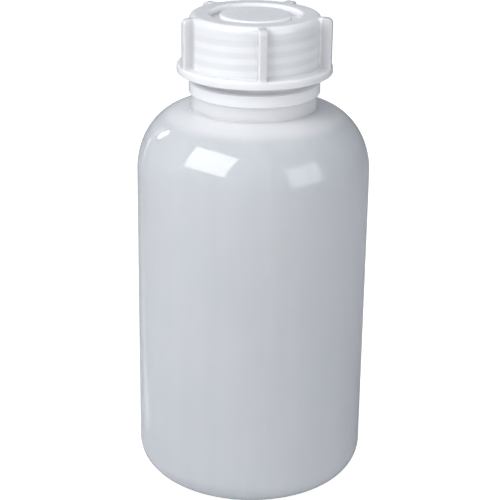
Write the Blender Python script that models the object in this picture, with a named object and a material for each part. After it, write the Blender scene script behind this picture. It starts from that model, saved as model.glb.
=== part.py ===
"""A two-litre wide-mouth reagent bottle: blown bottle, ribbed screw cap and sealing insert.

Metres, +Z up. The origin is the centre of the ring that the bottle stands on, and +Z is its axis.
The closure's heights all follow from the bottle's rim, and its radii from the bottle's finish, which
is the threaded top of the neck.
"""
import math

import bmesh
import bpy

FACETS = 48                     # flats round every turned piece, and steps in one turn of a thread
FACET_ANGLE = 2 * math.pi / FACETS

# Bottle body
BODY_RADIUS = 0.0600
SIDE_TOP = 0.1684               # where the straight side ends and the shoulder starts
SHOULDER_HEIGHT = 0.0331
BODY_WALL = 0.0016
BASE_FILLET = 0.0150
STANDING_RING_WIDTH = 0.0040
BASE_RISE = 0.0040              # how far the middle of the base is pushed up

# Neck and collar
NECK_HEIGHT = 0.0078            # from the top of the shoulder to the collar
NECK_STEP = 0.0020              # the plain neck stands this far outside the finish
NECK_WALL = 0.0024
NECK_ROOT_FILLET = 0.0010
NECK_INNER_FILLET = 0.0020
COLLAR_HEIGHT = 0.0060
COLLAR_PROUD = 0.0015           # beyond the plain neck
COLLAR_LOWER_ROUND = 0.0012
COLLAR_UPPER_ROUND = 0.0006

# Finish: the threaded top of the neck
FINISH_RADIUS = 0.0300          # at the root of the thread
FINISH_HEIGHT = 0.0300          # from the collar to the rim
FINISH_WALL = 0.0025
RIM_ROUND = 0.0006
INNER_CONE_HEIGHT = 0.0040      # where the bore widens below the finish

# Thread, right-handed
THREAD_PITCH = 0.0060
THREAD_DEPTH = 0.0015
NECK_RIDGE_BASE = 0.0034
NECK_RIDGE_CREST = 0.0020
NECK_THREAD_LEAD = 0.00675      # from the collar to the middle of the ridge's lower end
NECK_THREAD_TOP_GAP = 0.0026    # from the middle of the ridge's upper end to the rim
THREAD_START = math.pi          # direction of both lower ends, from +X
THREAD_FADE = 6                 # facets over which a ridge rises to its full depth
RIDGE_SUNK = 0.0006             # how far a ridge reaches into the wall that carries it

# Gaps between the pieces
RADIAL_GAP = 0.0004
AXIAL_GAP = 0.0003
THREAD_PLAY = 0.00035           # along the axis, on each flank

# Sealing insert
INSERT_FLANGE = 0.0015
INSERT_WALL = 0.0015
INSERT_EDGE_GAP = 0.0006        # between its flange and the cap's wall
PLUG_DEPTH = 0.0076             # from the underside of the flange
PLUG_LEAD = 0.0006              # chamfer at the plug's lower edge

# Screw cap
CAP_HEIGHT = 0.02955
CAP_WALL = 0.0016
CAP_PLATE = 0.0022
CAP_EDGE_WIDTH = 0.0029         # the rounded upper edge, across and down
CAP_EDGE_HEIGHT = 0.0041
RECESS_DEPTH = 0.0035
RECESS_PLATE = 0.0020           # under the groove round the raised disc
RECESS_WALL = 0.0021
RECESS_ROUND = 0.0007
GROOVE_WIDTH = 0.0051
DISC_BELOW_TOP = 0.0005
DISC_PLATE = 0.0032             # thicker than the land, which keeps the wide disc flat
DISC_ROUND = 0.0004
FLANGE_PROUD = 0.0061
FLANGE_HEIGHT = 0.00415
FLANGE_WALL = 0.0016
FLANGE_UPPER_ROUND = 0.0012
FLANGE_LOWER_ROUND = 0.0005
RIB_COUNT = 5
RIB_WIDTH = 0.00405
RIB_INSIDE_FLANGE = 0.0004      # ribs end this far inside the flange's edge
RIB_BELOW_TOP = 0.0002
RIB_CORNER = 0.0029
RIB_SUNK = 0.0008               # how far a rib reaches into the cap
FIRST_RIB = math.radians(-90 + 5.8)

# Radii that follow
NECK_RADIUS = FINISH_RADIUS + NECK_STEP
COLLAR_RADIUS = NECK_RADIUS + COLLAR_PROUD
THREAD_CREST = FINISH_RADIUS + THREAD_DEPTH
BORE_RADIUS = FINISH_RADIUS - FINISH_WALL
PLUG_RADIUS = BORE_RADIUS - RADIAL_GAP
DISH_RADIUS = PLUG_RADIUS - INSERT_WALL
CAP_INNER = THREAD_CREST + RADIAL_GAP
CAP_OUTER = CAP_INNER + CAP_WALL
CAP_RIDGE_CREST = FINISH_RADIUS + RADIAL_GAP
FLANGE_RADIUS = CAP_OUTER + FLANGE_PROUD
RECESS_RADIUS = DISH_RADIUS - RADIAL_GAP - RECESS_WALL
DISC_RADIUS = RECESS_RADIUS - GROOVE_WIDTH

# Heights that follow, above the standing ring
NECK_BASE = SIDE_TOP + SHOULDER_HEIGHT
COLLAR_BASE = NECK_BASE + NECK_HEIGHT
COLLAR_TOP = COLLAR_BASE + COLLAR_HEIGHT
RIM = COLLAR_TOP + FINISH_HEIGHT
INSERT_SEAT = RIM + AXIAL_GAP
CAP_CEILING = INSERT_SEAT + INSERT_FLANGE + AXIAL_GAP
CAP_TOP = CAP_CEILING + CAP_PLATE
CAP_BASE = CAP_TOP - CAP_HEIGHT
RECESS_UNDERSIDE = CAP_TOP - RECESS_DEPTH - RECESS_PLATE
NECK_THREAD_LOW = COLLAR_TOP + NECK_THREAD_LEAD
NECK_THREAD_HIGH = RIM - NECK_THREAD_TOP_GAP


def arc(centre, radii, start, end, steps):
    """Points of an elliptical arc in the profile plane, both ends included, angles in degrees."""
    points = []
    for step in range(steps + 1):
        angle = math.radians(start + (end - start) * step / steps)
        points.append((centre[0] + radii[0] * math.cos(angle), centre[1] + radii[1] * math.sin(angle)))
    return points


def round_corner(corner, radius, quarter, steps=2):
    """A quarter circle that rounds a corner. Quarter is the angle at which it starts, in degrees."""
    middle = math.radians(quarter + 45)
    centre = (corner[0] - radius * math.copysign(1, math.cos(middle)),
              corner[1] - radius * math.copysign(1, math.sin(middle)))
    return arc(centre, (radius, radius), quarter, quarter + 90, steps)


def dome(radius, rise, base, steps=4):
    """Points from the axis out along a shallow dome, up to but not including its edge."""
    points = []
    for step in range(steps):
        share = step / steps
        points.append((radius * share, base + rise * (1 - share ** 2)))
    return points


def turned_mesh(name, profile):
    """A solid turned about Z. Its profile starts and ends on the axis with the outside on its right."""
    bm = bmesh.new()
    rings = []
    for radius, height in profile:
        if radius == 0:
            rings.append([bm.verts.new((0, 0, height))])
            continue
        ring = []
        for index in range(FACETS):
            angle = index * FACET_ANGLE
            ring.append(bm.verts.new((radius * math.cos(angle), radius * math.sin(angle), height)))
        rings.append(ring)
    for ring, following in zip(rings, rings[1:]):
        for index in range(FACETS):
            after = index + 1
            corners = [ring[index % len(ring)], ring[after % len(ring)],
                       following[after % len(following)], following[index % len(following)]]
            bm.faces.new(list(dict.fromkeys(corners)))
    return finish_mesh(name, bm)


def ridge_mesh(name, wall, crest, widths, low, high):
    """A right-handed ridge from one height to another, fading into its wall at both ends."""
    base_width, crest_width = widths
    inward = math.copysign(1, crest - wall)
    sunk = wall - inward * RIDGE_SUNK
    flank = (base_width - crest_width) / 2 / abs(crest - wall)
    steps = math.floor((high - low) / THREAD_PITCH * FACETS)
    bm = bmesh.new()
    sections = []
    for step in range(steps + 1):
        rise = min(1, step / THREAD_FADE, (steps - step) / THREAD_FADE)
        angle = THREAD_START + step * FACET_ANGLE
        middle = low + THREAD_PITCH * step / FACETS
        top = wall + (crest - wall) * rise - inward * RIDGE_SUNK / 2 * (1 - rise)
        half_sunk = crest_width / 2 + flank * abs(crest - sunk)
        half_top = crest_width / 2 + flank * abs(crest - top)
        section = []
        for radius, height in ((sunk, -half_sunk), (top, -half_top), (top, half_top), (sunk, half_sunk)):
            point = (radius * math.cos(angle), radius * math.sin(angle), middle + height)
            section.append(bm.verts.new(point))
        sections.append(section)
    for section, following in zip(sections, sections[1:]):
        for index in range(4):
            after = (index + 1) % 4
            bm.faces.new((section[index], section[after], following[after], following[index]))
    bm.faces.new(sections[0])
    bm.faces.new(reversed(sections[-1]))
    bmesh.ops.recalc_face_normals(bm, faces=bm.faces)
    return finish_mesh(name, bm)


def rib_mesh(name):
    """All the cap's ribs: upright plates with a rounded outer corner, turned round the axis."""
    outer = FLANGE_RADIUS - RIB_INSIDE_FLANGE
    top = CAP_HEIGHT - RIB_BELOW_TOP
    plate_middle = CAP_HEIGHT - CAP_PLATE / 2
    outline = [(CAP_OUTER - RIB_SUNK, FLANGE_HEIGHT - RIB_SUNK), (outer, FLANGE_HEIGHT - RIB_SUNK)]
    outline += round_corner((outer, top), RIB_CORNER, 0, steps=4)
    outline += [(CAP_OUTER - CAP_EDGE_WIDTH - RIB_SUNK, top),
                (CAP_OUTER - CAP_EDGE_WIDTH - RIB_SUNK, plate_middle),
                (CAP_OUTER - RIB_SUNK, plate_middle - RIB_SUNK)]
    bm = bmesh.new()
    for number in range(RIB_COUNT):
        angle = FIRST_RIB + 2 * math.pi * number / RIB_COUNT
        sides = []
        for offset in (-RIB_WIDTH / 2, RIB_WIDTH / 2):
            side = []
            for radius, height in outline:
                point = (radius * math.cos(angle) - offset * math.sin(angle),
                         radius * math.sin(angle) + offset * math.cos(angle), height)
                side.append(bm.verts.new(point))
            sides.append(side)
        left, right = sides
        bm.faces.new(left)
        bm.faces.new(reversed(right))
        for index in range(len(outline)):
            bm.faces.new((left[index - 1], right[index - 1], right[index], left[index]))
    bmesh.ops.recalc_face_normals(bm, faces=bm.faces)
    return finish_mesh(name, bm)


def finish_mesh(name, bm):
    """The bmesh as a mesh of its own, smooth over its round stretches and sharp at its edges."""
    mesh = bpy.data.meshes.new(name)
    bm.to_mesh(mesh)
    bm.free()
    mesh.shade_smooth()
    mesh.set_sharp_from_angle(angle=math.radians(30))
    return mesh


def plastic(name, colour, roughness):
    """Translucent polyethylene of one colour."""
    material = bpy.data.materials.new(name)
    material.use_nodes = True
    shader = material.node_tree.nodes["Principled BSDF"]
    shader.inputs["Base Color"].default_value = (*colour, 1)
    shader.inputs["Roughness"].default_value = roughness
    shader.inputs["Metallic"].default_value = 0
    return material


def add_object(name, mesh, height, parent, material=None):
    """An object on the axis at a height above its parent."""
    piece = bpy.data.objects.new(name, mesh)
    piece.parent = parent
    piece.location = (0, 0, height)
    if material:
        mesh.materials.append(material)
    bpy.context.scene.collection.objects.link(piece)
    return piece


def add_union(piece, addition):
    """Join a tool solid to a piece, so that both are one moulding."""
    addition.hide_render = True
    addition.display_type = "WIRE"
    union = piece.modifiers.new(addition.name, "BOOLEAN")
    union.operation = "UNION"
    union.solver = "EXACT"
    union.object = addition


def bottle_profile():
    """Up the outside of the bottle from the middle of its base, over the rim and down the inside."""
    ring_outer = BODY_RADIUS - BASE_FILLET
    ring_inner = ring_outer - STANDING_RING_WIDTH
    shoulder_edge = NECK_RADIUS + NECK_ROOT_FILLET
    shoulder_width = BODY_RADIUS - shoulder_edge
    neck_inner = NECK_RADIUS - NECK_WALL
    inner_top = NECK_BASE - BODY_WALL

    profile = dome(ring_inner, BASE_RISE, 0) + [(ring_inner, 0)]
    profile += round_corner((BODY_RADIUS, 0), BASE_FILLET, -90, steps=6)
    profile += arc((shoulder_edge, SIDE_TOP), (shoulder_width, SHOULDER_HEIGHT), 0, 90, 10)
    profile += [(NECK_RADIUS, NECK_BASE + NECK_ROOT_FILLET), (NECK_RADIUS, COLLAR_BASE)]
    profile += round_corner((COLLAR_RADIUS, COLLAR_BASE), COLLAR_LOWER_ROUND, -90)
    profile += round_corner((COLLAR_RADIUS, COLLAR_TOP), COLLAR_UPPER_ROUND, 0)
    profile += [(FINISH_RADIUS, COLLAR_TOP)]
    profile += round_corner((FINISH_RADIUS, RIM), RIM_ROUND, 0)
    profile += round_corner((BORE_RADIUS, RIM), RIM_ROUND, 90)
    profile += [(BORE_RADIUS, COLLAR_BASE + INNER_CONE_HEIGHT), (neck_inner, COLLAR_BASE)]
    profile += arc((neck_inner + NECK_INNER_FILLET, inner_top + NECK_INNER_FILLET),
                   (NECK_INNER_FILLET, NECK_INNER_FILLET), 180, 270, 2)
    profile += arc((shoulder_edge, SIDE_TOP), (shoulder_width - BODY_WALL, SHOULDER_HEIGHT - BODY_WALL),
                   90, 0, 8)
    profile += arc((ring_outer, BASE_FILLET), (BASE_FILLET - BODY_WALL, BASE_FILLET - BODY_WALL),
                   0, -90, 5)
    profile += [(ring_inner, BODY_WALL)] + list(reversed(dome(ring_inner, BASE_RISE, BODY_WALL)))
    return profile


def insert_profile():
    """The sealing insert, measured from the underside of its flange: a flanged plug with a dished top."""
    flange_edge = CAP_INNER - INSERT_EDGE_GAP
    web_top = RECESS_UNDERSIDE - AXIAL_GAP - INSERT_SEAT
    web_base = web_top - INSERT_WALL
    return [(0, web_base), (DISH_RADIUS, web_base), (DISH_RADIUS, -PLUG_DEPTH),
            (PLUG_RADIUS - PLUG_LEAD, -PLUG_DEPTH), (PLUG_RADIUS, -PLUG_DEPTH + PLUG_LEAD),
            (PLUG_RADIUS, 0), (flange_edge, 0), (flange_edge, INSERT_FLANGE),
            (DISH_RADIUS, INSERT_FLANGE), (DISH_RADIUS, web_top), (0, web_top)]


def cap_profile():
    """The screw cap, measured from its lower edge: from the axis down the inside and up the outside."""
    ceiling = CAP_CEILING - CAP_BASE
    trough = RECESS_UNDERSIDE - CAP_BASE
    groove_floor = CAP_HEIGHT - RECESS_DEPTH
    disc_top = CAP_HEIGHT - DISC_BELOW_TOP
    trough_outer = RECESS_RADIUS + RECESS_WALL
    trough_inner = DISC_RADIUS - RECESS_WALL
    skirt_inner = FLANGE_RADIUS - FLANGE_WALL
    step = FLANGE_HEIGHT - FLANGE_WALL

    profile = [(0, disc_top - DISC_PLATE), (trough_inner, disc_top - DISC_PLATE), (trough_inner, trough),
               (trough_outer, trough), (trough_outer, ceiling), (CAP_INNER, ceiling), (CAP_INNER, step),
               (skirt_inner, step), (skirt_inner, 0)]
    profile += round_corner((FLANGE_RADIUS, 0), FLANGE_LOWER_ROUND, -90)
    profile += round_corner((FLANGE_RADIUS, FLANGE_HEIGHT), FLANGE_UPPER_ROUND, 0, steps=3)
    profile += [(CAP_OUTER, FLANGE_HEIGHT)]
    profile += arc((CAP_OUTER - CAP_EDGE_WIDTH, CAP_HEIGHT - CAP_EDGE_HEIGHT),
                   (CAP_EDGE_WIDTH, CAP_EDGE_HEIGHT), 0, 90, 5)
    profile += round_corner((RECESS_RADIUS, CAP_HEIGHT), RECESS_ROUND, 90)
    profile += [(RECESS_RADIUS, groove_floor), (DISC_RADIUS, groove_floor)]
    profile += round_corner((DISC_RADIUS, disc_top), DISC_ROUND, 0)
    profile += [(0, disc_top)]
    return profile


def build_bottle():
    """The blown bottle with the thread of its neck."""
    milky = plastic("bottle_ldpe", (0.72, 0.75, 0.79), 0.22)
    bottle = add_object("bottle", turned_mesh("bottle", bottle_profile()), 0, None, milky)
    ridge = ridge_mesh("neck_thread", FINISH_RADIUS, THREAD_CREST, (NECK_RIDGE_BASE, NECK_RIDGE_CREST),
                       NECK_THREAD_LOW, NECK_THREAD_HIGH)
    add_union(bottle, add_object("neck_thread", ridge, 0, bottle))


def build_insert(closure):
    """The loose sealing insert that the cap presses onto the rim."""
    soft = plastic("insert_ldpe", (0.86, 0.87, 0.88), 0.35)
    add_object("sealing_insert", turned_mesh("sealing_insert", insert_profile()), 0, closure, soft)


def build_cap(closure):
    """The screw cap with its inner thread and its grip ribs."""
    white = plastic("cap_ldpe", (0.85, 0.87, 0.89), 0.30)
    cap_mesh = turned_mesh("screw_cap", cap_profile())
    cap = add_object("screw_cap", cap_mesh, CAP_BASE - INSERT_SEAT, closure, white)
    widths = cap_ridge_widths()
    low = NECK_THREAD_LOW + THREAD_PITCH / 2 - CAP_BASE
    high = NECK_THREAD_HIGH - THREAD_PITCH / 2 - CAP_BASE
    ridge = ridge_mesh("cap_thread", CAP_INNER, CAP_RIDGE_CREST, widths, low, high)
    add_union(cap, add_object("grip_ribs", rib_mesh("grip_ribs"), 0, cap))
    add_union(cap, add_object("cap_thread", ridge, 0, cap))


def cap_ridge_widths():
    """The cap's ridge at its base and crest: what the neck's ridge leaves free, less the play."""
    slope = (NECK_RIDGE_BASE - NECK_RIDGE_CREST) / THREAD_DEPTH
    widths = []
    for radius in (CAP_INNER, CAP_RIDGE_CREST):
        neck_width = NECK_RIDGE_BASE - slope * (radius - FINISH_RADIUS)
        widths.append(THREAD_PITCH - neck_width - 2 * THREAD_PLAY)
    return widths


def main():
    """Clear the scene and build the three mouldings."""
    for leftover in list(bpy.data.objects):
        bpy.data.objects.remove(leftover, do_unlink=True)
    build_bottle()
    closure = add_object("closure", None, INSERT_SEAT, None)
    build_insert(closure)
    build_cap(closure)


main()
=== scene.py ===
"""Looks for the wide-mouth reagent bottle: fine mouldings in milky polyethylene on a pale studio floor."""

import math

import bmesh
import bpy
from mathutils import Matrix, Vector


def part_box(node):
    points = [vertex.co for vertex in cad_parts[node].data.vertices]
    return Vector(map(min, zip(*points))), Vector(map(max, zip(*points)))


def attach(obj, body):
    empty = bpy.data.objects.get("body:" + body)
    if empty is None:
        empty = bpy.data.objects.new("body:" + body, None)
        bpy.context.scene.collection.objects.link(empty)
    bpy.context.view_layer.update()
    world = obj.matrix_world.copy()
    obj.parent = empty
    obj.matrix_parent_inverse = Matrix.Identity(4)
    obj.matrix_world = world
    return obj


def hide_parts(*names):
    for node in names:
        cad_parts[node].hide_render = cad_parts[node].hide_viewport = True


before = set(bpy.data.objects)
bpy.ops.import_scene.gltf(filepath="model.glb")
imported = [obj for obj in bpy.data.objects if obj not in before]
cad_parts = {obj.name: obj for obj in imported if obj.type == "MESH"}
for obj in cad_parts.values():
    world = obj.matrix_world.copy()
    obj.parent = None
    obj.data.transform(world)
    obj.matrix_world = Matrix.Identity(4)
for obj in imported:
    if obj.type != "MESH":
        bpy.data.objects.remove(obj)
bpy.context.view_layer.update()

# ---- Sizes that the frame gives, in metres -----------------------------------------------------
BOTTLE_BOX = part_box("bottle")
CAP_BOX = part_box("screw_cap")
INSERT_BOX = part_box("sealing_insert")
BODY_RADIUS = BOTTLE_BOX[1][0]
RIM = BOTTLE_BOX[1][2]
FLANGE_RADIUS = CAP_BOX[1][1]
CAP_BASE = CAP_BOX[0][2]
CAP_TOP = CAP_BOX[1][2]
PLUG_TIP = INSERT_BOX[0][2]
INSERT_RADIUS = INSERT_BOX[1][0]

# ---- Sizes inside those boxes --------------------------------------------------------------------
MM = 0.001
BODY_WALL = 1.6 * MM
BASE_FILLET = 15.0 * MM
RING_WIDTH = 4.0 * MM
BASE_RISE = 4.0 * MM
SHOULDER_HEIGHT = 33.1 * MM
SHOULDER_EXTRA = 1.1 * MM                # how much thicker the shoulder's wall is close to the neck
NECK_HEIGHT = 7.8 * MM
NECK_FILLET = 1.0 * MM
NECK_TURN = 2.0 * MM                     # inside, where the neck turns into the shoulder
COLLAR_HEIGHT = 6.0 * MM
COLLAR_FILLET = 0.6 * MM
FINISH_HEIGHT = 30.0 * MM
BORE = 27.5 * MM
FINISH = 30.0 * MM
NECK = 32.0 * MM
NECK_INNER = 29.6 * MM
COLLAR = 33.5 * MM
RIM_EDGE = 0.7 * MM
RIDGE_DEPTH = 1.5 * MM
PITCH = 6.0 * MM
THREAD_START = math.pi
THREAD_FADE = 0.13                       # turns over which a ridge rises at each end
NECK_RIDGE = (3.5 * MM, 1.9 * MM)        # width at the base and at the crest
CAP_RIDGE = (3.3 * MM, 1.9 * MM)

COLLAR_TOP = RIM - FINISH_HEIGHT
COLLAR_BASE = COLLAR_TOP - COLLAR_HEIGHT
NECK_BASE = COLLAR_BASE - NECK_HEIGHT
SIDE_TOP = NECK_BASE - SHOULDER_HEIGHT
NECK_THREAD = (COLLAR_TOP + 6.75 * MM, RIM - 2.6 * MM)
CAP_THREAD = (NECK_THREAD[0] + PITCH / 2, NECK_THREAD[1] - PITCH / 2)

WALL_WAVE = 0.05 * MM                    # how uneven the blown wall is
SEAM = math.radians(-90 + 8.6)           # direction of the mould's parting line
SEAM_RIDGE = (0.05 * MM, 0.28 * MM)      # height and half width of the parting line
SEAM_SWELL = (0.02 * MM, 1.0 * MM)       # the soft swelling that it stands on
PINCH_RIDGE = (0.35 * MM, 0.5 * MM)      # the mould's line across the base

CAP_INNER = 31.9 * MM
CAP_OUTER = 33.5 * MM
CAP_EDGE = (2.9 * MM, 4.1 * MM)          # the rounded top edge, inwards and down
FLANGE_TOP = CAP_BASE + 4.15 * MM
FLANGE_WALL = 1.6 * MM
FLANGE_EDGE = 1.2 * MM
SKIRT_FILLET = 0.5 * MM
LAND_PLATE = 2.2 * MM
RECESS = 23.1 * MM
RECESS_FLOOR = CAP_TOP - 3.5 * MM
RECESS_PLATE = 2.0 * MM
RECESS_WALL = 2.1 * MM
DISC = 18.0 * MM
DISC_TOP = CAP_TOP - 0.5 * MM
DISC_PLATE = 3.2 * MM
RIB_COUNT = 5
RIB_WIDTH = 4.05 * MM
RIB_REACH = FLANGE_RADIUS - 0.4 * MM
RIB_TOP = CAP_TOP - 0.2 * MM
RIB_CORNER = 2.9 * MM
RIB_ROUNDING = 0.4 * MM
FIRST_RIB = math.radians(-90 + 5.8)

PLUG = 27.1 * MM
DISH = 25.6 * MM                         # the plug's inside
PLUG_DEPTH = 7.6 * MM
INSERT_FLANGE = 1.5 * MM
WEB_DROP = 1.8 * MM                      # from the flange down to the web
WEB = 1.5 * MM

COLUMNS = 240                            # evenly spaced columns round every turned piece
SEAM_OFFSETS = (-1.4, -0.8, -0.45, -0.25, -0.1, 0, 0.1, 0.25, 0.45, 0.8, 1.4)      # mm
RIB_OFFSETS = (-2.9, -2.35, -2.03, -2.0, -1.9, -1.65, -1.0, 0, 1.0, 1.65, 1.9, 2.0, 2.03, 2.35, 2.9)
THREAD_ROWS = 0.25 * MM                  # height between the rows of points along a thread

# ---- Tones ---------------------------------------------------------------------------------------
BODY_TONES = ((0.75, 0.80, 0.92), (0.79, 0.835, 0.945))
# painted glow: the neck and the shoulder close to it are painted whiter than the body
NECK_GLOW_TONE = (0.86, 0.855, 0.87)
CAP_TONES = ((0.87, 0.865, 0.87), (0.89, 0.885, 0.89))
# painted shade on the cap's thin wall between the turns of its thread
THIN_WALL_SHADE_TONE = (0.82, 0.82, 0.83)
# painted shade on the flange and, darker still, on the ribs
FLANGE_SHADE_TONE = (0.72, 0.715, 0.715)
RIB_SHADE_TONE = (0.59, 0.585, 0.59)
INSERT_TONES = ((0.94, 0.94, 0.94), (0.96, 0.96, 0.96))
FLOOR_TONE = (0.6, 0.6, 0.6)
LAMP_TONE = (0.96, 0.975, 1)
WORLD_TONE = (0.88, 0.935, 1.03)
WHITE = (1, 1, 1)
WORLD_STRENGTH = 0.37
FLOOR_LIFT = 0.85                        # what the floor adds to its own light where the camera sees it

# ---- Camera --------------------------------------------------------------------------------------
CAMERA_PLACE = (0, -0.767465, 0.416833)
CAMERA_PITCH = math.radians(20.977)      # down
CAMERA_YAW = math.radians(-0.082)        # to the right
CAMERA_ROLL = math.radians(0.795)        # right side up
LENS, SENSOR = 111.828, 36               # mm


# ---- Outlines ------------------------------------------------------------------------------------
def arc(centre, radii, start, end, steps):
    """Points of an elliptical arc in the outline's plane, both ends included, angles in degrees."""
    points = []
    for step in range(steps + 1):
        angle = math.radians(start + (end - start) * step / steps)
        points.append((centre[0] + radii[0] * math.cos(angle), centre[1] + radii[1] * math.sin(angle)))
    return points


def corner(point, radius, quarter, steps=6):
    """A quarter circle that rounds an outside corner; quarter is its starting angle in degrees."""
    middle = math.radians(quarter + 45)
    centre = (point[0] - radius * math.copysign(1, math.cos(middle)),
              point[1] - radius * math.copysign(1, math.sin(middle)))
    return arc(centre, (radius, radius), quarter, quarter + 90, steps)


def hollow(point, radius, quarter, steps=5):
    """A quarter circle that fills an inside corner, starting at an angle and running clockwise."""
    middle = math.radians(quarter - 45)
    centre = (point[0] - radius * math.copysign(1, math.cos(middle)),
              point[1] - radius * math.copysign(1, math.sin(middle)))
    return arc(centre, (radius, radius), quarter, quarter - 90, steps)


def run(start, end, spacing):
    """Evenly spaced points between two points, with neither end."""
    steps = max(1, round(math.dist(start, end) / spacing))
    return [(start[0] + (end[0] - start[0]) * step / steps,
             start[1] + (end[1] - start[1]) * step / steps) for step in range(1, steps)]


def dome(edge, rise, base, steps=24):
    """Points along a shallow dome from the axis out, without its edge."""
    return [(edge * step / steps, base + rise * (1 - (step / steps) ** 2)) for step in range(steps)]


# ---- Shaping -------------------------------------------------------------------------------------
def smooth_step(value, start=0, end=1):
    """0 at the start and before it, 1 at the end and past it, with a smooth change between."""
    share = min(1, max(0, (value - start) / (end - start)))
    return share * share * (3 - 2 * share)


def ridge(size, aside):
    """The height of a rounded ridge, given as its height and half width, at a distance to its side."""
    return size[0] * math.exp(-(aside / size[1]) ** 2)


def thread_rise(angle, height, span, widths):
    """How far a right-handed ridge stands up at a place, from 0 to 1, with its ends faded."""
    low, high = span
    turns = (high - low) / PITCH
    along = ((angle - THREAD_START) % (2 * math.pi)) / (2 * math.pi)
    rise = 0
    while along <= turns:
        distance = abs(height - low - PITCH * along)
        flank = smooth_step(distance, widths[0] / 2, widths[1] / 2)
        rise = max(rise, smooth_step(min(along, turns - along), 0, THREAD_FADE) * flank)
        along += 1
    return rise


def around(angle, radius, height):
    """The point at an angle round the axis."""
    return radius * math.cos(angle), radius * math.sin(angle), height


# ---- Meshes --------------------------------------------------------------------------------------
def columns_with(centres, offsets, radius):
    """Even columns round the axis, with a closer set of them round each centre."""
    reach = (max(offsets) * MM / radius) + math.pi / COLUMNS
    angles = [2 * math.pi * index / COLUMNS for index in range(COLUMNS)]
    for centre in centres:
        angles = [a for a in angles if abs(math.remainder(a - centre, 2 * math.pi)) > reach]
    angles += [(centre + offset * MM / radius) % (2 * math.pi) for centre in centres for offset in offsets]
    return sorted(angles)


def turned_piece(name, stretches, angles):
    """A closed mesh turned about Z from stretches of outline, each with what shapes its points or None."""
    bm = bmesh.new()
    rings = []
    for outline, shape in stretches:
        for index, (radius, height) in enumerate(outline):
            if radius == 0:
                rings.append([bm.verts.new((0, 0, height))])
                continue
            ring = []
            for angle in angles:
                if shape:
                    place = shape(angle, radius, height, index)
                else:
                    place = around(angle, radius, height)
                ring.append(bm.verts.new(place))
            rings.append(ring)
    for ring, following in zip(rings, rings[1:]):
        for index in range(len(angles)):
            after = index + 1
            corners = [ring[index % len(ring)], ring[after % len(ring)],
                       following[after % len(following)], following[index % len(following)]]
            bm.faces.new(list(dict.fromkeys(corners)))
    mesh = bpy.data.meshes.new(name)
    bm.to_mesh(mesh)
    bm.free()
    mesh.shade_smooth()
    mesh.set_sharp_from_angle(angle=math.radians(40))
    piece = bpy.data.objects.new(name, mesh)
    bpy.context.scene.collection.objects.link(piece)
    return piece


# ---- Bottle --------------------------------------------------------------------------------------
def blown_wall(angle, radius, height, _):
    """The blown outside, a little uneven, with the mould's parting line standing up on both sides."""
    if height < BASE_FILLET and radius < BODY_RADIUS - BASE_FILLET - RING_WIDTH:
        return around(angle, radius, height - ridge(PINCH_RIDGE, radius * math.sin(angle - SEAM)))
    level = smooth_step(height, 2 * MM, 14 * MM) * smooth_step(height, SIDE_TOP + 20 * MM, SIDE_TOP - 10 * MM)
    wave = math.sin(2 * angle + 0.6 + 11 * height) + 0.7 * math.sin(3 * angle - 1.1 - 17 * height)
    wave += 0.35 * math.sin(7 * angle + 31 * height) + 0.5 * math.sin(43 * height + 2 * math.cos(angle))
    off_seam = abs(math.remainder(angle - SEAM, math.pi)) * BODY_RADIUS
    seam = ridge(SEAM_RIDGE, off_seam) + ridge(SEAM_SWELL, off_seam)
    seam *= smooth_step(height, 1 * MM, 4 * MM) * smooth_step(radius, 40 * MM, 50 * MM)
    return around(angle, radius + WALL_WAVE * wave * level + seam, height)


def blown_inside(angle, radius, height, _):
    """The inside, which leaves the shoulder thicker close to the neck."""
    if SIDE_TOP < height < COLLAR_BASE:
        height -= SHOULDER_EXTRA * smooth_step(radius, 46 * MM, 43 * MM)
    return around(angle, radius, height)


def threaded_finish(angle, radius, height, _):
    """The neck's thread."""
    return around(angle, radius + RIDGE_DEPTH * thread_rise(angle, height, NECK_THREAD, NECK_RIDGE), height)


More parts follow.
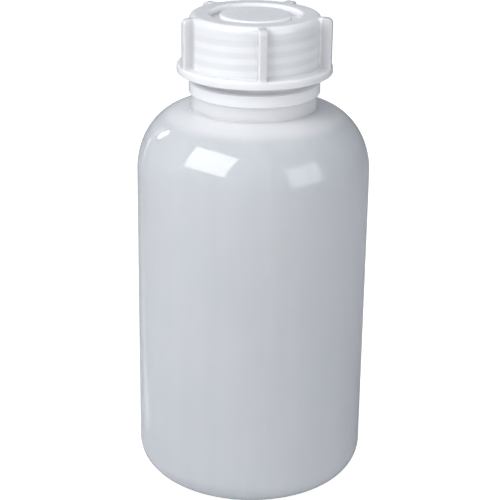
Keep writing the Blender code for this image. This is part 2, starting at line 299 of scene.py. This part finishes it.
def make_bottle():
    """The blown bottle: base, body, shoulder, neck with its collar, threaded finish and inside."""
    ring_outer = BODY_RADIUS - BASE_FILLET
    ring_inner = ring_outer - RING_WIDTH
    shoulder_edge = NECK + NECK_FILLET
    shoulder_width = BODY_RADIUS - shoulder_edge
    inner_radius = BODY_RADIUS - BODY_WALL
    inner_top = NECK_BASE - BODY_WALL
    inner_fillet = BASE_FILLET - BODY_WALL

    outside = dome(ring_inner, BASE_RISE, 0) + corner((ring_inner, 0), 1.0 * MM, 180, 4)
    outside += arc((ring_outer, BASE_FILLET), (BASE_FILLET, BASE_FILLET), -90, 0, 26)
    outside += run((BODY_RADIUS, BASE_FILLET), (BODY_RADIUS, SIDE_TOP), 4 * MM)
    outside += arc((shoulder_edge, SIDE_TOP), (shoulder_width, SHOULDER_HEIGHT), 0, 90, 48)
    outside += hollow((NECK, NECK_BASE), NECK_FILLET, 270)[1:]
    outside += run((NECK, NECK_BASE + NECK_FILLET), (NECK, COLLAR_BASE), 1.3 * MM)

    collar = hollow((NECK, COLLAR_BASE), 0.5 * MM, 180, 4) + corner((COLLAR, COLLAR_BASE), 0.9 * MM, -90)
    collar += corner((COLLAR, COLLAR_TOP), 0.8 * MM, 0) + hollow((FINISH, COLLAR_TOP), COLLAR_FILLET, 270)
    finish = run((FINISH, COLLAR_TOP + COLLAR_FILLET), (FINISH, RIM - RIM_EDGE), THREAD_ROWS)

    # The bore widens to the neck's inside just above the collar's foot.
    inside = corner((FINISH, RIM), RIM_EDGE, 0) + corner((BORE, RIM), RIM_EDGE, 90)
    inside += run((BORE, RIM - RIM_EDGE), (BORE, COLLAR_BASE + 4 * MM), 3 * MM)
    inside += [(BORE, COLLAR_BASE + 4 * MM), (BORE + 1.1 * MM, COLLAR_BASE + 1.9 * MM),
               (NECK_INNER, COLLAR_BASE)]
    inside += arc((NECK_INNER + NECK_TURN, inner_top + NECK_TURN), (NECK_TURN, NECK_TURN), 180, 270, 8)
    inside += arc((shoulder_edge, SIDE_TOP), (shoulder_width - BODY_WALL, SHOULDER_HEIGHT - BODY_WALL),
                  90, 0, 36)
    inside += run((inner_radius, SIDE_TOP), (inner_radius, BASE_FILLET), 8 * MM)
    inside += arc((ring_outer, BASE_FILLET), (inner_fillet, inner_fillet), 0, -90, 18)
    inside += reversed(dome(ring_inner, BASE_RISE, BODY_WALL))

    angles = columns_with((SEAM, SEAM + math.pi), SEAM_OFFSETS, BODY_RADIUS)
    stretches = [(outside, blown_wall), (collar, None), (finish, threaded_finish), (inside, blown_inside)]
    return turned_piece("bottle_body", stretches, angles)


# ---- Cap -----------------------------------------------------------------------------------------
def cap_thread(angle, radius, height, _):
    """The thread inside the cap."""
    return around(angle, radius - RIDGE_DEPTH * thread_rise(angle, height, CAP_THREAD, CAP_RIDGE), height)


def skirt_outline():
    """Two matching outlines up the outside of the cap: beside a rib, and along the rib's edge."""
    flange_steps, edge_steps, tip_steps = 6, 20, 12
    edge_base = CAP_TOP - CAP_EDGE[1]
    rib_foot = FLANGE_TOP + SKIRT_FILLET
    plain = corner((FLANGE_RADIUS, FLANGE_TOP), FLANGE_EDGE, 0, flange_steps)
    plain += run((FLANGE_RADIUS - FLANGE_EDGE, FLANGE_TOP), (CAP_OUTER + SKIRT_FILLET, FLANGE_TOP), 1 * MM)
    plain += hollow((CAP_OUTER, FLANGE_TOP), SKIRT_FILLET, 270, 4)
    foot = len(plain)
    rib = [(max(radius, RIB_REACH), height) for radius, height in plain[:flange_steps + 1]]
    while len(rib) < foot:
        share = (len(rib) - flange_steps) / (foot - flange_steps - 1)
        rib.append((RIB_REACH, FLANGE_TOP + (rib_foot - FLANGE_TOP) * share))

    upright = run((CAP_OUTER, rib_foot), (CAP_OUTER, edge_base), 1.5 * MM)
    plain += upright + arc((CAP_OUTER - CAP_EDGE[0], edge_base), CAP_EDGE, 0, 90, edge_steps)
    for _, height in upright:
        share = (height - rib_foot) / (edge_base - rib_foot)
        rib.append((RIB_REACH, rib_foot + (RIB_TOP - RIB_CORNER - rib_foot) * share))
    rib += corner((RIB_REACH, RIB_TOP), RIB_CORNER, 0, tip_steps)
    tip_end, last = RIB_REACH - RIB_CORNER, plain[-1][0]
    for step in range(1, edge_steps - tip_steps + 1):
        share = step / (edge_steps - tip_steps)
        rib.append((tip_end + (last - tip_end) * share,
                    RIB_TOP + (CAP_TOP - RIB_TOP) * smooth_step(share, 0.75, 1)))
    return plain, rib


def make_cap():
    """The screw cap: skirt with its rounded flange and five ribs, land, groove, raised disc, thread."""
    plain, rib = skirt_outline()
    ribs = [FIRST_RIB + 2 * math.pi * number / RIB_COUNT for number in range(RIB_COUNT)]

    def ribbed(angle, radius, height, index):
        """The plain outline, or the rib's where a rib stands, with its long edges rounded."""
        centre = min(ribs, key=lambda c: abs(math.remainder(angle - c, 2 * math.pi)))
        aside = math.remainder(angle - centre, 2 * math.pi) * CAP_OUTER
        past = abs(aside) - RIB_WIDTH / 2
        if past >= 0:
            return around(angle, radius, height)
        outer, top = rib[index]
        fall = max(0, past + RIB_ROUNDING) / RIB_ROUNDING
        drop = RIB_ROUNDING * (1 - math.sqrt(max(0, 1 - fall * fall)))
        length = math.dist((outer, top), (radius, height))
        share = 1 - min(1, drop / max(length, 1e-9))
        outer, top = radius + (outer - radius) * share, height + (top - height) * share
        return (outer * math.cos(centre) - aside * math.sin(centre),
                outer * math.sin(centre) + aside * math.cos(centre), top)

    trough_inner, trough_outer = DISC - RECESS_WALL, RECESS + RECESS_WALL
    trough = RECESS_FLOOR - RECESS_PLATE
    ceiling = CAP_TOP - LAND_PLATE
    disc_base = DISC_TOP - DISC_PLATE
    skirt_inner = FLANGE_RADIUS - FLANGE_WALL
    step_height = FLANGE_TOP - FLANGE_WALL
    ceiling_fillet = 0.6 * MM
    edge = 0.4 * MM
    soft_edge = 0.5 * MM
    disc_edge = 0.6 * MM

    under = [(0, disc_base), (trough_inner * 0.5, disc_base)]
    under += hollow((trough_inner, disc_base), soft_edge, 90, 4)
    under += corner((trough_inner, trough), soft_edge, 180, 4)
    under += corner((trough_outer, trough), soft_edge, -90, 4)
    under += [(trough_outer, ceiling - edge), (trough_outer + edge, ceiling)]
    under += hollow((CAP_INNER, ceiling), ceiling_fillet, 90, 4)
    inner_wall = run((CAP_INNER, ceiling - ceiling_fillet), (CAP_INNER, step_height + edge), THREAD_ROWS)
    lip = corner((CAP_INNER, step_height), edge, 180, 3)
    lip += hollow((skirt_inner, step_height), 0.8 * MM, 90, 4)
    lip += corner((skirt_inner, CAP_BASE), edge, 180, 3)
    lip += corner((FLANGE_RADIUS, CAP_BASE), 0.6 * MM, -90, 5)

    top = run(plain[-1], (RECESS + 0.9 * MM, CAP_TOP), 1 * MM) + corner((RECESS, CAP_TOP), 0.9 * MM, 90, 7)
    top += hollow((RECESS, RECESS_FLOOR), soft_edge, 0, 4)
    top += run((RECESS, RECESS_FLOOR), (DISC, RECESS_FLOOR), 1 * MM)[1:-1]
    top += hollow((DISC, RECESS_FLOOR), soft_edge, 270, 4)
    top += corner((DISC, DISC_TOP), disc_edge, 0, 6)
    top += run((DISC - disc_edge, DISC_TOP), (0, DISC_TOP), 1 * MM) + [(0, DISC_TOP)]

    angles = columns_with(ribs, RIB_OFFSETS, CAP_OUTER)
    stretches = [(under, None), (inner_wall, cap_thread), (lip, None), (plain, ribbed), (top, None)]
    return turned_piece("cap_moulding", stretches, angles)


# ---- Insert --------------------------------------------------------------------------------------
def make_insert():
    """The sealing insert: a flanged plug whose web closes the mouth."""
    flange_base = PLUG_TIP + PLUG_DEPTH
    flange_top = flange_base + INSERT_FLANGE
    web_top = flange_base - WEB_DROP
    web_base = web_top - WEB
    edge = 0.4 * MM
    outline = [(0, web_base), (DISH * 0.5, web_base)] + hollow((DISH, web_base), 0.6 * MM, 90, 4)
    outline += corner((DISH, PLUG_TIP), edge, 180, 3) + corner((PLUG, PLUG_TIP), 0.7 * MM, -90, 4)
    outline += run((PLUG, PLUG_TIP), (PLUG, flange_base), 1 * MM)
    outline += hollow((PLUG, flange_base), 0.3 * MM, 180, 3)
    outline += corner((INSERT_RADIUS, flange_base), edge, -90, 4)
    outline += corner((INSERT_RADIUS, flange_top), edge, 0, 4) + corner((DISH, flange_top), edge, 90, 4)
    outline += hollow((DISH, web_top), 0.6 * MM, 0, 4) + [(DISH * 0.5, web_top), (0, web_top)]
    return turned_piece("insert_moulding", [(outline, None)], columns_with((), (0,), PLUG))


# ---- Nodes: sources and results are output sockets -------------------------------------------------
def noise(tree, scale, detail, stretch=(1, 1, 1)):
    """A noise texture over object coordinates, stretched along each axis by the given frequencies."""
    place = tree.nodes.new("ShaderNodeTexCoord")
    mapping = tree.nodes.new("ShaderNodeMapping")
    mapping.inputs["Scale"].default_value = stretch
    texture = tree.nodes.new("ShaderNodeTexNoise")
    texture.inputs["Scale"].default_value = scale
    texture.inputs["Detail"].default_value = detail
    tree.links.new(place.outputs["Object"], mapping.inputs["Vector"])
    tree.links.new(mapping.outputs["Vector"], texture.inputs["Vector"])
    return texture.outputs[0]


def spread(tree, source, low, high, smooth=True, onto=(0, 1)):
    """Map a range of an output onto another range, 0 to 1 if none is given, and hold it past the ends."""
    node = tree.nodes.new("ShaderNodeMapRange")
    node.interpolation_type = "SMOOTHSTEP" if smooth else "LINEAR"
    node.inputs["From Min"].default_value = low
    node.inputs["From Max"].default_value = high
    node.inputs["To Min"].default_value = onto[0]
    node.inputs["To Max"].default_value = onto[1]
    tree.links.new(source, node.inputs["Value"])
    return node.outputs["Result"]


def blend_colours(tree, share, first, second):
    """Mix two colours, each a colour or an output, by an output."""
    node = tree.nodes.new("ShaderNodeMix")
    node.data_type = "RGBA"
    tree.links.new(share, node.inputs["Factor"])
    for socket, value in ((node.inputs[6], first), (node.inputs[7], second)):
        if isinstance(value, bpy.types.NodeSocket):
            tree.links.new(value, socket)
        else:
            socket.default_value = (*value, 1)
    return node.outputs[2]


def calculate(tree, operation, *values):
    """A Math node over numbers and outputs."""
    node = tree.nodes.new("ShaderNodeMath")
    node.operation = operation
    for index, value in enumerate(values):
        if isinstance(value, bpy.types.NodeSocket):
            tree.links.new(value, node.inputs[index])
        else:
            node.inputs[index].default_value = value
    return node.outputs[0]


def bump(tree, height, strength, distance, under=None):
    """The surface's direction with an output as its height, over another direction if one is given."""
    node = tree.nodes.new("ShaderNodeBump")
    node.inputs["Strength"].default_value = strength
    node.inputs["Distance"].default_value = distance
    tree.links.new(height, node.inputs["Height"])
    if under is not None:
        tree.links.new(under, node.inputs["Normal"])
    return node.outputs["Normal"]


def axes(tree):
    """The object's own x, y and z, and the distance from the axis."""
    place = tree.nodes.new("ShaderNodeTexCoord")
    apart = tree.nodes.new("ShaderNodeSeparateXYZ")
    tree.links.new(place.outputs["Object"], apart.inputs["Vector"])
    x, y, z = (apart.outputs[axis] for axis in "XYZ")
    squares = calculate(tree, "ADD", calculate(tree, "MULTIPLY", x, x), calculate(tree, "MULTIPLY", y, y))
    return x, y, z, calculate(tree, "SQRT", squares)


# ---- Polyethylene --------------------------------------------------------------------------------
def polyethylene(name, colours, roughness, depth, grain, streaks):
    """Milky, waxy plastic: clouded colour, light carried under the skin, fine grain and soft waves."""
    material = bpy.data.materials.new(name)
    material.use_nodes = True
    tree = material.node_tree
    shader = tree.nodes["Principled BSDF"]
    shader.subsurface_method = "RANDOM_WALK"
    shader.inputs["IOR"].default_value = 1.51
    shader.inputs["Specular IOR Level"].default_value = 0.62
    shader.inputs["Subsurface Weight"].default_value = 1
    shader.inputs["Subsurface Radius"].default_value = (1, 1, 1)
    shader.inputs["Subsurface Scale"].default_value = depth

    clouds = noise(tree, scale=22, detail=3)
    flow = noise(tree, scale=90, detail=2, stretch=(1, 1, 0.06))
    share = calculate(tree, "ADD", calculate(tree, "MULTIPLY", clouds, 1 - streaks),
                      calculate(tree, "MULTIPLY", flow, streaks))
    colour = blend_colours(tree, spread(tree, share, 0.34, 0.66), *colours)
    tree.links.new(colour, shader.inputs["Base Color"])

    handled = noise(tree, scale=60, detail=5)
    tree.links.new(spread(tree, handled, 0.3, 0.7, False, roughness), shader.inputs["Roughness"])

    waves = bump(tree, flow, strength=0.18, distance=0.12 * MM)
    fine = noise(tree, scale=1400, detail=2)
    skin = bump(tree, fine, strength=grain, distance=0.05 * MM, under=waves)
    tree.links.new(skin, shader.inputs["Normal"])
    return material


def over_colour(material, share, colour):
    """Lay another colour over a material's own, by an output."""
    tree = material.node_tree
    socket = tree.nodes["Principled BSDF"].inputs["Base Color"]
    mixed = blend_colours(tree, share, socket.links[0].from_socket, colour)
    tree.links.new(mixed, socket)


def paint_neck_glow(material):
    """Painted glow: the neck and the shoulder close to it are painted whiter than the blown body, standing in
    for light glowing through the neck's thick plastic.
    """
    tree = material.node_tree
    height = axes(tree)[2]
    over_colour(material, spread(tree, height, NECK_BASE - 6.5 * MM, NECK_BASE - 2.5 * MM), NECK_GLOW_TONE)


def paint_thread_shade(material):
    """Painted shade: between the turns of its thread the cap's thin wall is painted darker, standing in for
    the thread showing through the translucent wall.
    """
    tree = material.node_tree
    x, y, z, _ = axes(tree)
    turn = calculate(tree, "DIVIDE", calculate(tree, "ARCTAN2", y, x), 2 * math.pi)
    along = calculate(tree, "SUBTRACT", calculate(tree, "DIVIDE", z, PITCH), turn)
    start = (CAP_THREAD[0] / PITCH - THREAD_START / (2 * math.pi)) % 1
    phase = calculate(tree, "FRACT", calculate(tree, "SUBTRACT", along, start - 0.5))
    off_ridge = calculate(tree, "ABSOLUTE", calculate(tree, "SUBTRACT", phase, 0.5))
    thin = spread(tree, off_ridge, 0.17, 0.33)
    above = spread(tree, z, CAP_THREAD[0] - PITCH, CAP_THREAD[0] - PITCH / 2)
    below = spread(tree, z, CAP_THREAD[1] + PITCH, CAP_THREAD[1] + PITCH / 2)
    share = calculate(tree, "MULTIPLY", thin, calculate(tree, "MULTIPLY", above, below))
    over_colour(material, share, THIN_WALL_SHADE_TONE)


def paint_rib_shade(material):
    """Painted shade: the flange and the ribs have no white neck behind them, so they are painted darker than
    the wall.
    """
    tree = material.node_tree
    _, _, height, radius = axes(tree)
    outside = calculate(tree, "MULTIPLY", spread(tree, radius, CAP_OUTER + 0.2 * MM, CAP_OUTER + 1.5 * MM),
                        spread(tree, height, CAP_BASE + 0.2 * MM, CAP_BASE + 1.0 * MM))
    over_colour(material, outside, FLANGE_SHADE_TONE)
    above = spread(tree, height, FLANGE_TOP - 0.5 * MM, FLANGE_TOP + 2 * MM)
    over_colour(material, calculate(tree, "MULTIPLY", outside, above), RIB_SHADE_TONE)


def eroded_disc(material):
    """Give the top of the cap's raised disc the finely pitted finish of its mould."""
    tree = material.node_tree
    normal = tree.nodes["Principled BSDF"].inputs["Normal"]
    radius = axes(tree)[3]
    inside = spread(tree, radius, DISC - 0.9 * MM, DISC - 1.2 * MM)
    pits = calculate(tree, "MULTIPLY", inside, noise(tree, scale=900, detail=3))
    pitted = bump(tree, pits, strength=0.8, distance=0.35 * MM, under=normal.links[0].from_socket)
    tree.links.new(pitted, normal)


# ---- Studio --------------------------------------------------------------------------------------
def placed(place, right, above, back):
    """A transform at a place, with the directions of its X, Y and Z axes."""
    return Matrix.Translation(place) @ Matrix((right, above, back)).transposed().to_4x4()


def area_light(name, transform, size, power, colour=WHITE, glossy=True):
    """A rectangular light that shines along its -Z axis and isn't seen itself by the camera."""
    light = bpy.data.lights.new(name, "AREA")
    light.shape = "RECTANGLE"
    light.size, light.size_y = size
    light.energy = power
    light.color = colour
    lamp = bpy.data.objects.new(name, light)
    lamp.matrix_world = transform
    lamp.visible_camera = False
    lamp.visible_glossy = glossy
    bpy.context.scene.collection.objects.link(lamp)


def softbox(name, azimuth, elevation, distance, size, power, glossy=True, height=0.15):
    """A light aimed at the bottle, seen from it at an azimuth from the front, to the right, and elevation."""
    azimuth, elevation = math.radians(azimuth), math.radians(elevation)
    centre = Vector((0, 0, height))
    reach, rise = distance * math.cos(elevation), distance * math.sin(elevation)
    place = Vector((reach * math.sin(azimuth), -reach * math.cos(azimuth), height + rise))
    turn = (centre - place).to_track_quat("-Z", "Y").to_matrix().to_4x4()
    area_light(name, Matrix.Translation(place) @ turn, size, power, LAMP_TONE, glossy)


def floor_strip(start, azimuth, length, width, power):
    """A narrow light lying on the floor, from a place out along an azimuth from the front."""
    azimuth = math.radians(azimuth)
    along = Vector((math.sin(azimuth), -math.cos(azimuth), 0))
    side = along.cross(Vector((0, 0, -1)))
    transform = placed(Vector(start) + along * length / 2, side, along, side.cross(along))
    area_light("floor_strip", transform, (width, length), power)


def make_floor():
    """A plain pale floor, white to the camera."""
    bm = bmesh.new()
    bmesh.ops.create_grid(bm, x_segments=8, y_segments=8, size=4)
    mesh = bpy.data.meshes.new("floor")
    bm.to_mesh(mesh)
    bm.free()
    floor = bpy.data.objects.new("floor", mesh)
    bpy.context.scene.collection.objects.link(floor)
    material = bpy.data.materials.new("pale_floor")
    material.use_nodes = True
    tree = material.node_tree
    shader = tree.nodes["Principled BSDF"]
    shader.inputs["Base Color"].default_value = (*FLOOR_TONE, 1)
    shader.inputs["Roughness"].default_value = 0.9
    shader.inputs["Specular IOR Level"].default_value = 0
    shader.inputs["Emission Color"].default_value = (*WHITE, 1)
    rays = tree.nodes.new("ShaderNodeLightPath")
    lift = calculate(tree, "MULTIPLY", rays.outputs["Is Camera Ray"], FLOOR_LIFT)
    tree.links.new(lift, shader.inputs["Emission Strength"])
    mesh.materials.append(material)


def make_world():
    """Even pale light from all round, in front of a white backdrop."""
    world = bpy.data.worlds.new("studio")
    world.use_nodes = True
    tree = world.node_tree
    background = tree.nodes["Background"]
    background.inputs["Color"].default_value = (*WORLD_TONE, 1)
    background.inputs["Strength"].default_value = WORLD_STRENGTH
    backdrop = tree.nodes.new("ShaderNodeBackground")
    backdrop.inputs["Color"].default_value = (*WHITE, 1)
    rays = tree.nodes.new("ShaderNodeLightPath")
    shown = tree.nodes.new("ShaderNodeMixShader")
    tree.links.new(rays.outputs["Is Camera Ray"], shown.inputs[0])
    tree.links.new(background.outputs[0], shown.inputs[1])
    tree.links.new(backdrop.outputs[0], shown.inputs[2])
    tree.links.new(shown.outputs[0], tree.nodes["World Output"].inputs["Surface"])
    bpy.context.scene.world = world


def make_camera():
    """The camera in front of the bottle and above it, looking down at it."""
    ahead = Vector((math.sin(CAMERA_YAW) * math.cos(CAMERA_PITCH),
                    math.cos(CAMERA_YAW) * math.cos(CAMERA_PITCH), -math.sin(CAMERA_PITCH)))
    level = Vector((math.cos(CAMERA_YAW), -math.sin(CAMERA_YAW), 0))
    over = level.cross(ahead)
    right = math.cos(CAMERA_ROLL) * level + math.sin(CAMERA_ROLL) * over
    above = -math.sin(CAMERA_ROLL) * level + math.cos(CAMERA_ROLL) * over
    data = bpy.data.cameras.new("camera")
    data.lens = LENS
    data.sensor_width = SENSOR
    camera = bpy.data.objects.new("camera", data)
    camera.matrix_world = placed(CAMERA_PLACE, right, above, -ahead)
    bpy.context.scene.collection.objects.link(camera)
    bpy.context.scene.camera = camera


def main():
    """Build the pieces, dress them, and set up the studio."""
    make_camera()
    body_plastic = polyethylene("body_polyethylene", BODY_TONES, roughness=(0.05, 0.09), depth=10 * MM,
                                grain=0.06, streaks=0.45)
    # painted glow on the neck and the shoulder next to it
    paint_neck_glow(body_plastic)
    cap_plastic = polyethylene("cap_polyethylene", CAP_TONES, roughness=(0.16, 0.21), depth=5 * MM,
                               grain=0.08, streaks=0.25)
    # painted shade between the turns of the cap's thread
    paint_thread_shade(cap_plastic)
    # painted shade on the flange and the ribs
    paint_rib_shade(cap_plastic)
    eroded_disc(cap_plastic)
    insert_plastic = polyethylene("insert_polyethylene", INSERT_TONES, roughness=(0.28, 0.38), depth=5 * MM,
                                  grain=0.1, streaks=0.2)
    pieces = ((make_bottle(), "bottle", "bottle", "bottle_ldpe", body_plastic),
              (make_cap(), "cap", "screw_cap", "cap_ldpe", cap_plastic),
              (make_insert(), "insert", "sealing_insert", "insert_ldpe", insert_plastic))
    for piece, body, node, slot, plastic in pieces:
        piece.data.materials.append(plastic)
        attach(piece, body)
        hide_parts(node)

    make_floor()
    make_world()
    softbox("left_box", azimuth=-50, elevation=37, distance=0.9, size=(0.70, 0.52), power=6.2)
    softbox("left_fill", azimuth=-30, elevation=55, distance=1.0, size=(0.9, 0.9), power=1.8, glossy=False)
    softbox("right_box", azimuth=52, elevation=18, distance=1.1, size=(0.66, 0.52), power=2.7)
    softbox("front_fill", azimuth=8, elevation=2, distance=1.0, size=(0.7, 0.4), power=1.7, glossy=False)
    softbox("left_strip", azimuth=-136, elevation=8, distance=0.9, size=(0.04, 0.6), power=0.13)
    softbox("left_card", azimuth=-128, elevation=24, distance=0.9, size=(0.10, 0.19), power=0.5)
    floor_strip(start=(-0.0975, 0.0101, MM), azimuth=-147, length=0.45, width=0.02, power=0.013)
    bpy.context.scene.view_settings.view_transform = "Standard"


main()
